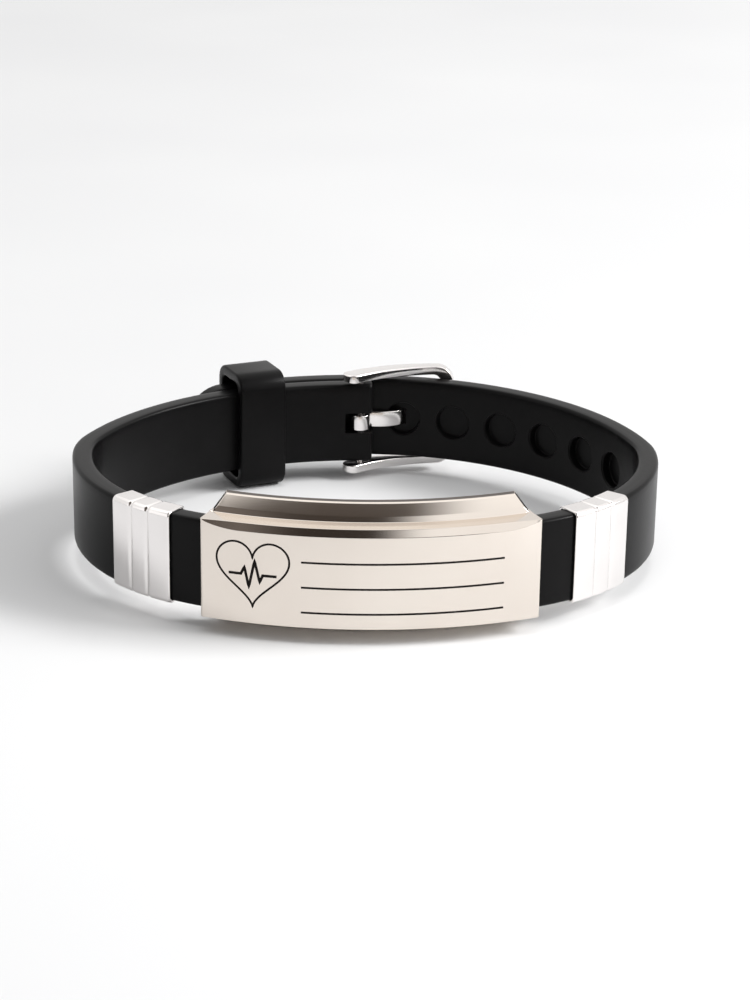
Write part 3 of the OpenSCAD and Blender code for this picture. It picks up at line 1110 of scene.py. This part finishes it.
@dataclass
class PinBuckle:
    """The bowed frame, the spring bar and the flat tongue of the pin buckle."""

    plan: LoopPlan
    finish: Material
    arm_h: float = 1.3 * MM
    arm_play: float = 0.4 * MM
    lug_t: float = 3.0 * MM
    lug_past: float = 2.7 * MM
    bar_t: float = 1.8 * MM
    bar_w: float = 2.0 * MM
    bar_past_hole: float = 6.5 * MM
    bar_play: float = 0.25 * MM
    bow_r: float = 22.0 * MM
    corner_r: float = 2.6 * MM
    section_r: float = 0.22 * MM
    least_share: float = 0.05
    end_r: float = 1.2 * MM
    frame_sharp_deg: float = 40.0
    bore_r: float = 0.73 * MM
    bore_sides: int = 32
    pin_end_play: float = 0.03 * MM
    pin_edge: float = 0.08 * MM
    pin_edge_steps: int = 3
    pin_sharp_deg: float = 28.0
    tongue_t: float = 0.8 * MM
    tongue_w: float = 2.4 * MM
    tongue_play: float = 0.12 * MM
    tongue_past: float = 0.9 * MM
    tongue_edge_r: float = 0.2 * MM
    tongue_edge_share: float = 0.45
    tongue_sharp_deg: float = 50.0
    curl: Span = (math.radians(345.0), QUARTER)
    tip_l: float = 1.2 * MM
    tip_share: float = 0.12
    foot_bend_r: float = 6.0 * MM
    crest_bend_r: float = 2.0 * MM
    corner_steps: int = 10
    run_steps: int = 28
    round_steps: int = 4
    end_steps: int = 8
    hole_mid: Vector = field(init=False)
    bar: Vector = field(init=False)
    bow_c: Vector = field(init=False)
    bow_from: float = field(init=False)
    bow_l: float = field(init=False)

    def __post_init__(self) -> None:
        """Place the cross bar and the bow."""
        plan = self.plan
        arc, angle = plan.row(plan.tongue_hole_s)
        self.hole_mid = Vector(arc.at(angle))
        bar_x = self.hole_mid.x + self.bar_past_hole
        reach = math.sqrt((plan.outer_r + plan.strap_t / 2) ** 2 - (bar_x - self.bar_w / 2) ** 2)
        self.bar = Vector((bar_x, plan.outer_c[1] + reach + self.bar_play + self.bar_t / 2))
        pin = Vector(plan.pin)
        chord = self.bar - pin
        half_a = math.asin(chord.length / 2 / self.bow_r)
        middle_a = QUARTER + math.atan2(chord.y, chord.x)
        sagitta = self.bow_r * math.cos(half_a)
        self.bow_c = (pin + self.bar) / 2 - Vector((math.cos(middle_a), math.sin(middle_a))) * sagitta
        self.bow_from = middle_a + half_a + self.lug_past / self.bow_r
        bow_to = middle_a - half_a - self.bar_w / 2 / self.bow_r
        self.bow_l = (self.bow_from - bow_to) * self.bow_r

    def on_bow(self, along: float, up: float, out: float) -> Vector:
        """Find a point of the scene on the bow.

        Args:
            along: Distance from the lugs' ends.
            up: Height over the strap's middle.
            out: Distance out from the middle of the bow's thickness.

        Returns:
            The point.
        """
        angle = self.bow_from - along / self.bow_r
        reach = self.bow_r + out
        place = (self.bow_c.x + reach * math.cos(angle), self.bow_c.y + reach * math.sin(angle))
        return self.plan.point(place, up)

    def frame_sides(self) -> list[tuple[Plan, Plan]]:
        """Pair points on the window's edge with points on the frame's outer edge.

        Returns:
            The pairs from the upper lug to the lower one, each point along the bow and up.
        """
        window = self.plan.strap_w / 2 + self.arm_play
        outer = window + self.arm_h
        window_r = self.corner_r - self.arm_h
        inner_end = self.bow_l - self.bar_w
        upper = []
        for step in range(self.run_steps):
            share = step / self.run_steps
            upper.append((
                (self.end_r + share * (inner_end - window_r - self.end_r), window),
                (self.end_r + share * (self.bow_l - self.corner_r - self.end_r), outer),
            ))
        inner_c = (inner_end - window_r, window - window_r)
        outer_c = (self.bow_l - self.corner_r, outer - self.corner_r)
        for turn in reversed(quarter_turns(self.corner_steps)):
            cos, sin = math.cos(turn), math.sin(turn)
            upper.append((
                (inner_c[0] + window_r * cos, inner_c[1] + window_r * sin),
                (outer_c[0] + self.corner_r * cos, outer_c[1] + self.corner_r * sin),
            ))
        lower = [((a[0], -a[1]), (b[0], -b[1])) for a, b in reversed(upper)]
        return upper + lower

    def section(self, pair: tuple[Plan, Plan], turn: float = QUARTER) -> Ring:
        """Draw one rounded section of the frame, drawn in towards the round end of a lug.

        Args:
            pair: Points on the window's edge and on the outer edge.
            turn: Angle on the lug's rounding, 0 at its very end and a right angle clear of it.

        Returns:
            The section's points.
        """
        inner, outer = Vector(pair[0]), Vector(pair[1])
        middle, across = (inner + outer) / 2, (outer - inner).normalized()
        start = middle.x - self.end_r * math.cos(turn)
        drawn_in = 1 - math.sin(turn)
        width = (outer - inner).length - 2 * self.section_r * drawn_in
        thick = self.lug_t + (self.bar_t - self.lug_t) * middle.x / self.bow_l - 2 * self.end_r * drawn_in
        radius = self.section_r * max(1 - drawn_in, self.least_share)
        return [self.on_bow(start + across.x * x, middle.y + across.y * x, y)
                for x, y in rounded(width, thick, radius, self.round_steps)]

    def bent_frame(self) -> Piece:
        """Sweep the frame with a rounded section, bore its lugs and put it in place of the plain solid.

        Returns:
            The frame.
        """
        sides = self.frame_sides()
        rounding = quarter_turns(self.end_steps)[:-1]
        rings = [self.section(sides[0], turn) for turn in rounding]
        rings += [self.section(pair) for pair in sides]
        rings += [self.section(sides[-1], turn) for turn in reversed(rounding)]
        bent = swept(rings, "bowed_frame", self.finish)
        low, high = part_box("buckle_pin")
        bore_l = high.z - low.z + 2 * self.pin_end_play
        bore_mid = self.plan.point(self.plan.pin, 0.0)
        carve(bent, rod(bore_mid, self.bore_r, bore_l, self.bore_sides, self.finish))
        shade(bent, self.frame_sharp_deg)
        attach(bent, BODY)
        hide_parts("buckle_frame")
        return bent

    def spring_bar(self) -> Piece:
        """Soften the edges of the spring bar's own solid and give it its finish.

        Returns:
            The spring bar.
        """
        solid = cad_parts["buckle_pin"]
        solid.data.materials.clear()
        solid.data.materials.append(self.finish)
        soften(solid, self.pin_edge, self.pin_edge_steps, self.pin_sharp_deg)
        return solid

    def tongue_path(self) -> list[Plan]:
        """Draw the tongue's middle line: round the spring bar, along the slot, up through the hole and on.

        Returns:
            Points in plan.
        """
        plan = self.plan
        pin = Vector(plan.pin)
        wrap_r = self.bore_r + self.tongue_t / 2
        root = pin + Vector((0.0, wrap_r - self.tongue_play / 2))
        arc, angle = plan.row(plan.tongue_hole_s - plan.hole_r)
        near_edge = Vector(arc.at(angle, -plan.strap_t / 2 - self.tongue_play - self.tongue_t / 2))
        climb = Vector((math.cos(plan.tongue_slope), math.sin(plan.tongue_slope)))
        run = near_edge - root
        foot = root + run * ((self.hole_mid - root).cross(climb) / run.cross(climb))
        crest_y = self.bow_c.y + self.bow_r + self.bar_t / 2 + self.tongue_play + self.tongue_t / 2
        crest = self.hole_mid + climb * ((crest_y - self.hole_mid.y) / climb.y)
        tip = Vector((self.bar.x + self.bar_w / 2 + self.tongue_past, crest_y))
        first_a, last_a = self.curl
        turns = [first_a + (last_a - first_a) * step / self.run_steps for step in range(self.run_steps + 1)]
        curl = [(pin.x + wrap_r * math.cos(turn), pin.y + wrap_r * math.sin(turn)) for turn in turns]
        rise = fillet(root, foot, crest, self.foot_bend_r, self.corner_steps)
        bend = fillet(foot, crest, tip, self.crest_bend_r, self.corner_steps)
        shares = [1 - math.sin(turn) for turn in quarter_turns(self.corner_steps)]
        return curl + rise + bend + [(tip.x - self.tip_l * share, tip.y) for share in shares]

    def tongue(self) -> Piece:
        """Sweep the tongue with soft edges and a round tip, and put it in place of the plain solid.

        Returns:
            The tongue.
        """
        points = [Vector(point) for point in self.tongue_path()]
        tip_from = points[-1].x - self.tip_l
        rings = []
        for here, before, after in zip(points, points[:1] + points, points[1:] + points[-1:]):
            along = (after - before).normalized()
            side = Vector((-along.y, along.x))
            past = max(0.0, (here.x - tip_from) / self.tip_l)
            width = self.tongue_w * max(math.sqrt(max(1 - past ** 2, 0.0)), self.tip_share)
            radius = min(self.tongue_edge_r, width * self.tongue_edge_share)
            outline = rounded(width, self.tongue_t, radius, self.round_steps)
            rings.append([self.plan.point((here.x + side.x * y, here.y + side.y * y), x) for x, y in outline])
        tongue = swept(rings, "flat_tongue", self.finish, sharp_deg=self.tongue_sharp_deg)
        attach(tongue, BODY)
        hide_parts("buckle_tongue")
        return tongue


@dataclass
class RibbedSleeve:
    """A steel slider: a sleeve round the strap with three panels between two soft grooves."""

    plan: LoopPlan
    finish: Material
    wall: float = 0.3 * MM
    face_play: float = 0.2 * MM
    edge_play: float = 0.05 * MM
    corner_r: float = 0.8 * MM
    length: float = 9.6 * MM
    groove_at: Span = (3.425 * MM, 6.175 * MM)
    groove_half: float = 0.4 * MM
    groove_d: float = 0.16 * MM
    end_r: float = 0.2 * MM
    end_steps: int = 5
    step_l: float = 0.13 * MM
    corner_steps: int = 8
    sharp_deg: float = 50.0

    def skin(self, along: float) -> float:
        """Find the thickness of the wall, which is thinner in a groove.

        Args:
            along: Distance along the sleeve.

        Returns:
            The thickness there.
        """
        off = min(abs(along - middle) for middle in self.groove_at) / self.groove_half
        dip = self.groove_d * (0.5 + 0.5 * math.cos(math.pi * off)) if off < 1.0 else 0.0
        return self.wall - dip

    def course(self) -> list[Plan]:
        """Draw the wall's section along the strap, from end to end on the outside and back inside.

        Returns:
            Points, as distance along the sleeve and height over its inside.
        """
        rounding = [(self.end_r * (1 - math.cos(turn)), self.wall - self.end_r * (1 - math.sin(turn)))
                    for turn in quarter_turns(self.end_steps)]
        count = math.ceil((self.length - 2 * self.end_r) / self.step_l)
        places = [self.end_r + (self.length - 2 * self.end_r) * step / count for step in range(1, count)]
        far = [(self.length - along, over) for along, over in reversed(rounding)]
        outside = rounding + [(along, self.skin(along)) for along in places] + far
        return outside + [(along, 0.0) for along, over in reversed(outside)]

    def build(self, side: Side, gap: float) -> Piece:
        """Sweep the sleeve along the strap and put it in place of the plain solid.

        Args:
            side: Which side of the plate it is on.
            gap: Bare strap between it and the plate.

        Returns:
            The sleeve.
        """
        plan = self.plan
        right = side is Side.RIGHT
        arc = plan.arcs[4] if right else plan.arcs[2]
        inner_t = plan.strap_t + 2 * self.face_play
        inner_h = plan.strap_w + 2 * self.edge_play
        rings = []
        for along, over in self.course():
            turn = (gap + along) / arc.radius
            angle = arc.start + turn if right else arc.end - turn
            radius = self.corner_r - self.wall + over
            outline = rounded(inner_t + 2 * over, inner_h + 2 * over, radius, self.corner_steps)
            rings.append([plan.point(arc.at(angle, out), up) for out, up in outline])
        name = f"{side.value}_ribbed_sleeve"
        sleeve = swept(rings, name, self.finish, closed=True, sharp_deg=self.sharp_deg)
        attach(sleeve, BODY)
        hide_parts(f"{side.value}_slider")
        return sleeve


@dataclass
class FaceEtching:
    """Generic marks etched in the plate's face: a heart with a pulse line, and three blank ruled lines."""

    plan: LoopPlan
    oxide: Material
    stand: float = 0.012 * MM
    sink: float = 0.03 * MM
    step_l: float = 0.35 * MM
    motif_s: float = -15.3 * MM
    heart_w: float = 9.6 * MM
    heart_span: float = 32.0
    heart_lift: float = 2.5
    heart_waves: tuple[float, ...] = (13.0, -5.0, -2.0, -1.0)
    heart_steps: int = 96
    line_w: float = 0.27 * MM
    pulse_w: float = 0.36 * MM
    rule_from: float = -9.0 * MM
    rule_to: float = 17.2 * MM
    rules_up: tuple[float, float, float] = (2.2 * MM, -1.2 * MM, -4.6 * MM)
    pulse: tuple[Plan, ...] = (
        (-0.33, 0.0), (-0.16, 0.0), (-0.11, 0.1), (-0.05, -0.18), (0.03, 0.2), (0.1, -0.1), (0.14, 0.0),
        (0.33, 0.0),
    )
    mitre_cos: float = 0.5

    def on_face(self, place: Plan | Vector, lift: float) -> Vector:
        """Point on the curved face, along and up from its middle, lifted off it."""
        return self.plan.at_front(place[0] / self.plan.plate_r, self.plan.face_out + lift, place[1])

    def divided(self, points: list[Plan], closed: bool) -> list[Plan]:
        """Add points so that no piece of a stroke is too long to follow the curved face.

        Args:
            points: The stroke's middle line, along and up.
            closed: Whether it runs on from the last point to the first.

        Returns:
            The line with its long pieces divided.
        """
        fine: list[Plan] = []
        ends = points[1:] + (points[:1] if closed else [])
        for here, there in zip(points, ends):
            pieces = max(1, math.ceil(math.dist(here, there) / self.step_l))
            for piece in range(pieces):
                share = piece / pieces
                fine.append((here[0] + (there[0] - here[0]) * share, here[1] + (there[1] - here[1]) * share))
        return fine if closed else fine + [points[-1]]

    def stroke(self, mesh: Mesh, points: list[Plan], width: float, closed: bool = False) -> None:
        """Lay a stroke of even width along points of the face.

        Args:
            mesh: Where the faces go.
            points: The stroke's middle line, along and up.
            width: Its width.
            closed: Whether it runs on from the last point to the first.
        """
        line = [Vector(point) for point in self.divided(points, closed)]
        befores = (line[-1:] if closed else line[:1]) + line
        afters = line[1:] + (line[:1] if closed else line[-1:])
        rings = []
        for here, before, after in zip(line, befores, afters):
            arriving, leaving = (here - before).normalized(), (after - here).normalized()
            along = (arriving + leaving).normalized()
            lean = max(along.dot(arriving), along.dot(leaving), self.mitre_cos)
            side = Vector((-along.y, along.x)) * (width / 2 / lean)
            left, right = here + side, here - side
            rings.append([
                self.on_face(left, self.stand), self.on_face(right, self.stand),
                self.on_face(right, -self.sink), self.on_face(left, -self.sink),
            ])
        sweep(mesh, rings, closed)

    def heart(self) -> list[Plan]:
        """Draw the heart, a sum of four waves upward over the cube of one across.

        Returns:
            Points of its outline, along and up from the middle of the face.
        """
        scale = self.heart_w / self.heart_span
        points = []
        for step in range(self.heart_steps):
            turn = 2 * math.pi * step / self.heart_steps
            x = self.heart_span / 2 * math.sin(turn) ** 3
            y = sum(wave * math.cos(number * turn) for number, wave in enumerate(self.heart_waves, start=1))
            points.append((self.motif_s + scale * x, scale * (y + self.heart_lift)))
        return points

    def build(self) -> Piece:
        """Etch the motif and the ruled lines.

        Returns:
            The etching, as one piece.
        """
        mesh = bmesh.new()
        self.stroke(mesh, self.heart(), self.line_w, closed=True)
        beat = [(self.motif_s + x * self.heart_w, y * self.heart_w) for x, y in self.pulse]
        self.stroke(mesh, beat, self.pulse_w)
        for up in self.rules_up:
            self.stroke(mesh, [(self.rule_from, up), (self.rule_to, up)], self.line_w)
        etching = object_from(mesh, "face_etching", self.oxide)
        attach(etching, BODY)
        return etching


@dataclass(frozen=True)
class SoftPanel:
    """A soft rectangular light that faces its aim."""

    name: str
    place: Place
    size: Span
    power: float
    aim: Place = (0.0, 0.0, 0.0)
    seen_in_gloss: bool = False

    def hang(self) -> Piece:
        """Hang the light.

        Returns:
            The light.
        """
        data = bpy.data.lights.new(self.name, "AREA")
        data.shape = "RECTANGLE"
        data.size, data.size_y = self.size
        data.energy = self.power
        light = bpy.data.objects.new(self.name, data)
        away = Vector(self.place) - Vector(self.aim)
        facing = away.to_track_quat("Z", "Y").to_matrix().to_4x4()
        light.matrix_world = Matrix.Translation(self.place) @ facing
        light.visible_glossy = self.seen_in_gloss
        light.visible_camera = False
        bpy.context.scene.collection.objects.link(light)
        return light


@dataclass(frozen=True)
class WhiteRoom:
    """White room round the table: a plain dome to matt surfaces, and a graded room to polished ones."""

    name: str = "white_room"
    seen: Colour = (1.0, 1.0, 1.0)
    dome: Stops = (
        (0.0, (0.06, 0.06, 0.06)), (0.35, (0.16, 0.16, 0.16)), (0.75, (0.75, 0.75, 0.75)),
        (1.0, (1.0, 1.0, 1.0)),
    )
    dome_light: float = 0.8
    side_white: Colour = (1.2, 1.19, 1.18)
    back_low: Colour = (0.95, 0.94, 0.93)
    back_high: Colour = (1.35, 1.34, 1.32)
    back_rise: Span = (0.5, 0.85)
    front_wall: Stops = (
        (0.2, (0.014, 0.009, 0.006)), (0.6, (0.045, 0.036, 0.03)), (0.95, (0.085, 0.07, 0.06)),
    )
    left_grey: Colour = (0.2, 0.175, 0.16)
    front_edge: Span = (0.06, -0.14)
    left_edge: Span = (-0.25, -0.6)
    right_edge: Span = (-0.11, 0.15)
    tilt: float = math.radians(-14.0)
    high_edge: Span = (0.2, 0.45)
    far_right_edge: Span = (0.45, 0.62)
    far_left_edge: Span = (-0.62, -0.8)

    def mirrored(self, sheet: NodeSheet, toward: Socket) -> Socket:
        """Write the room that polished pieces mirror.

        It is white behind the object, most of all overhead, and high on the right and far out on both
        sides. In front, above the table, it is dark, and greyer towards the left.

        Args:
            sheet: The world's sheet.
            toward: Socket of the direction.

        Returns:
            The colour's socket.
        """
        across, back, up = sheet.add("ShaderNodeSeparateXYZ", {"Vector": toward}).outputs
        turned = sheet.add("ShaderNodeVectorRotate", {"Vector": toward, "Angle": self.tilt},
                           rotation_type="Y_AXIS")
        tilted = sheet.add("ShaderNodeSeparateXYZ", {"Vector": turned.outputs["Vector"]}).outputs["X"]
        right_high = sheet.times(sheet.fade(tilted, *self.right_edge), sheet.fade(up, *self.high_edge))
        far_right = sheet.fade(across, *self.far_right_edge)
        far_left = sheet.fade(across, *self.far_left_edge)
        dark = sheet.mix(sheet.fade(across, *self.left_edge), sheet.ramp(up, self.front_wall), self.left_grey)
        sides = sheet.largest(right_high, sheet.largest(far_right, far_left))
        front = sheet.mix(sides, dark, self.side_white)
        behind = sheet.mix(sheet.fade(up, *self.back_rise), self.back_low, self.back_high)
        return sheet.mix(sheet.fade(back, *self.front_edge), behind, front)

    def build(self) -> bpy.types.World:
        """Write the world and put it round the scene.

        Returns:
            The world.
        """
        world = bpy.data.worlds.new(self.name)
        world.use_nodes = True
        sheet = NodeSheet(world.node_tree)
        ray = sheet.add("ShaderNodeLightPath").outputs
        toward = sheet.add("ShaderNodeTexCoord").outputs["Generated"]
        up = sheet.add("ShaderNodeSeparateXYZ", {"Vector": toward}).outputs["Z"]
        gloss = sheet.add("ShaderNodeBackground", {"Color": self.mirrored(sheet, toward)})
        overhead = sheet.ramp(up, self.dome)
        even = sheet.add("ShaderNodeBackground", {"Color": overhead, "Strength": self.dome_light})
        seen = sheet.add("ShaderNodeBackground", {"Color": (*self.seen, 1.0)})
        view = sheet.blend(ray["Is Camera Ray"], sheet.blend(ray["Is Glossy Ray"], even, gloss), seen)
        sheet.add("ShaderNodeOutputWorld", {"Surface": view.outputs["Shader"]})
        bpy.context.scene.world = world
        return world


@dataclass
class Studio:
    """White table, soft light and the camera of the view."""

    plan: LoopPlan
    table_half: float = 1.6
    table_cells: int = 8
    lens_px: float = 2533.8
    image_px: float = 1000.0
    sensor_mm: float = 36.0
    near: float = 0.01
    pitch: float = 0.346
    yaw: float = 0.0335
    roll: float = 0.0152
    eye_in_plan: Plan = (-9.73 * MM, -299.79 * MM)
    eye_up: float = 118.04 * MM
    panels: tuple[SoftPanel, ...] = (
        SoftPanel("right_softbox", (1.15, -0.08, 0.8), size=(0.6, 0.45), power=18.0, seen_in_gloss=True),
        SoftPanel("top_softbox", (0.2, -0.2, 3.6), size=(1.2, 1.2), power=22.0),
        SoftPanel("front_fill", (0.09, -0.075, 0.05), size=(0.06, 0.05), power=0.028,
                  aim=(0.033, -0.047, 0.0)),
    )

    def camera(self) -> Piece:
        """Set up the camera.

        Returns:
            The camera.
        """
        data = bpy.data.cameras.new("camera")
        data.sensor_width = self.sensor_mm
        data.lens = self.lens_px * self.sensor_mm / self.image_px
        data.clip_start = self.near
        camera = bpy.data.objects.new("camera", data)
        camera.matrix_world = (
            Matrix.Translation(self.plan.point(self.eye_in_plan, self.eye_up))
            @ Matrix.Rotation(-self.yaw, 4, "Z")
            @ Matrix.Rotation(QUARTER - self.pitch, 4, "X")
            @ Matrix.Rotation(self.roll, 4, "Z")
        )
        bpy.context.scene.collection.objects.link(camera)
        bpy.context.scene.camera = camera
        return camera

    def table(self) -> Piece:
        """Lay the table top, which isn't part of the object.

        Returns:
            The table top.
        """
        mesh = bmesh.new()
        cells = self.table_cells
        bmesh.ops.create_grid(mesh, x_segments=cells, y_segments=cells, size=self.table_half)
        table = object_from(mesh, "table_top", PaleTable().material())
        return table

    def build(self) -> None:
        """Set up the whole studio."""
        self.camera()
        self.table()
        WhiteRoom().build()
        for panel in self.panels:
            panel.hang()
        bpy.context.scene.view_settings.view_transform = "Standard"


def main() -> None:
    """Build the bracelet's pieces in order, dress its solids and set the view."""
    logging.basicConfig(level=logging.INFO, format="%(name)s: %(message)s")
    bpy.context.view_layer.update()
    plan = LoopPlan()
    silicone = SatinSilicone().material()
    plate_steel = PolishedSteel(
        name="plate_steel", tint=(0.76, 0.7, 0.64), shade=(0.72, 0.655, 0.595), rough=(0.1, 0.16),
    ).material()
    # painted shade: near-black steel that darkens the lips' flat rims
    painted_dark_rim = PolishedSteel(
        name="painted_dark_rim", tint=(0.16, 0.135, 0.12), shade=(0.09, 0.075, 0.065), rough=(0.35, 0.5),
        line_depth=0.006 * MM,
    ).material()
    bright_steel = PolishedSteel(
        name="bright_steel", tint=(0.87, 0.845, 0.835), shade=(0.79, 0.765, 0.755), rough=(0.1, 0.17),
    ).material()
    buckle = PinBuckle(plan, bright_steel)
    sleeve = RibbedSleeve(plan, bright_steel)
    for made in (
        StrapBand(plan, silicone).build(),
        KeeperLoop(plan, silicone).build(),
        IdPlate(plan, plate_steel, painted_dark_rim).build(),
        sleeve.build(Side.LEFT, gap=4.6 * MM),
        sleeve.build(Side.RIGHT, gap=5.3 * MM),
        buckle.bent_frame(),
        buckle.spring_bar(),
        buckle.tongue(),
        FaceEtching(plan, BurntEtching().material()).build(),
    ):
        log.info("%s: %d faces", made.name, len(made.data.polygons))
    Studio(plan).build()


if __name__ == "__main__":
    main()
